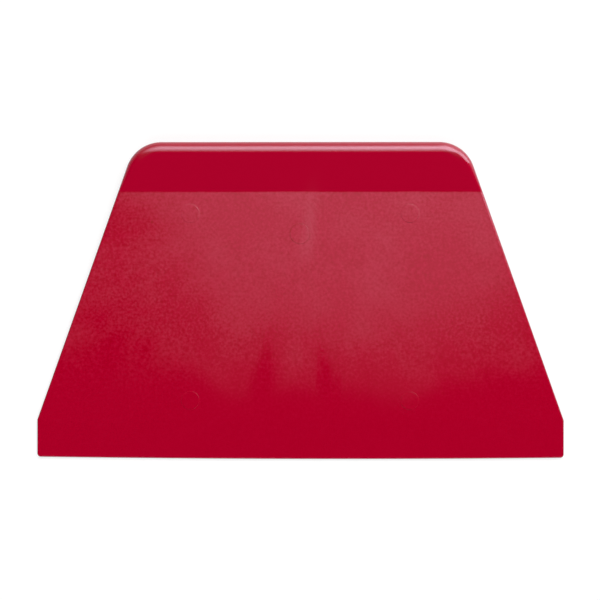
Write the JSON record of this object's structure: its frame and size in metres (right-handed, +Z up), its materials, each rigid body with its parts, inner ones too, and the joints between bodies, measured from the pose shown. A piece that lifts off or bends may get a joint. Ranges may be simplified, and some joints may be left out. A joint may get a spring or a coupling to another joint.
{
  "type": "dough scraper",
  "caption": "Flat one-piece trapezoid scraper for dividing and scraping dough, with a thin bevelled working edge and a thickened, rounded grip along the top.",
  "frame": {"origin": "on the surface that the scraper lies on, under the middle of its bounding box", "axes": "+X along the working edge to the right, +Y from the working edge towards the grip, +Z up out of the front face"},
  "size_m": [0.216, 0.13, 0.008],
  "materials": {
    "red_plastic": "satin, fine-grained blade with a smoother grip"
  },
  "bodies": {
    "root": {"scraper": "red_plastic"}
  },
  "joints": []
}
